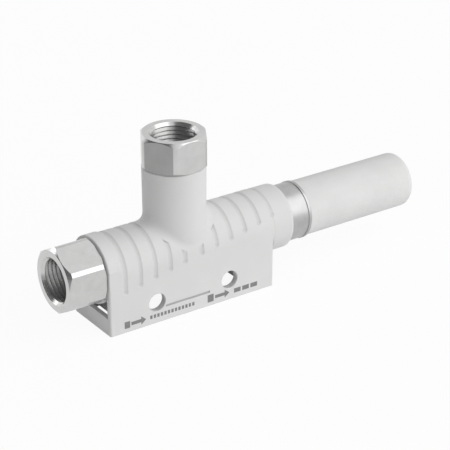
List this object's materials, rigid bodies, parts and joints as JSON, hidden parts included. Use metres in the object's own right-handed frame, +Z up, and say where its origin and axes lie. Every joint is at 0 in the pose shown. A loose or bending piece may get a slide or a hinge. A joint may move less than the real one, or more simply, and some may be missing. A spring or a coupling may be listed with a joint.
{
  "type": "vacuum ejector",
  "caption": "Inline vacuum ejector: moulded tee body on a hollow base with screw holes, hexagonal threaded inlet and vacuum ports, and a tubular exhaust silencer.",
  "frame": {"origin": "middle of the base's bottom plane, straight below the vacuum port's axis", "axes": "+X along the barrel from the air inlet to the silencer, +Z up the vacuum port, -Y out of the front face"},
  "size_m": [0.0876, 0.014, 0.0375],
  "materials": {
    "housing_plastic": "fine matte moulded",
    "nickel": "turned, bright nickel plating",
    "stainless": "satin",
    "nozzle_brass": "turned",
    "seal_rubber": "matte",
    "collar_metal": "fine turned",
    "silencer_plastic": "porous, matte"
  },
  "bodies": {
    "root": {"housing": "housing_plastic", "inlet_connector": "nickel", "inlet_connector_o_ring": "seal_rubber", "inlet_strainer": "stainless", "inlet_strainer_clip": "stainless", "jet_nozzle": "nozzle_brass", "jet_nozzle_o_ring": "seal_rubber", "receiver_nozzle": "nozzle_brass", "receiver_nozzle_o_ring": "seal_rubber", "vacuum_connector": "nickel", "vacuum_connector_o_ring": "seal_rubber", "vacuum_strainer": "stainless", "vacuum_strainer_clip": "stainless", "exhaust_collar": "collar_metal", "exhaust_collar_o_ring": "seal_rubber", "silencer_element": "silencer_plastic"}
  },
  "joints": []
}
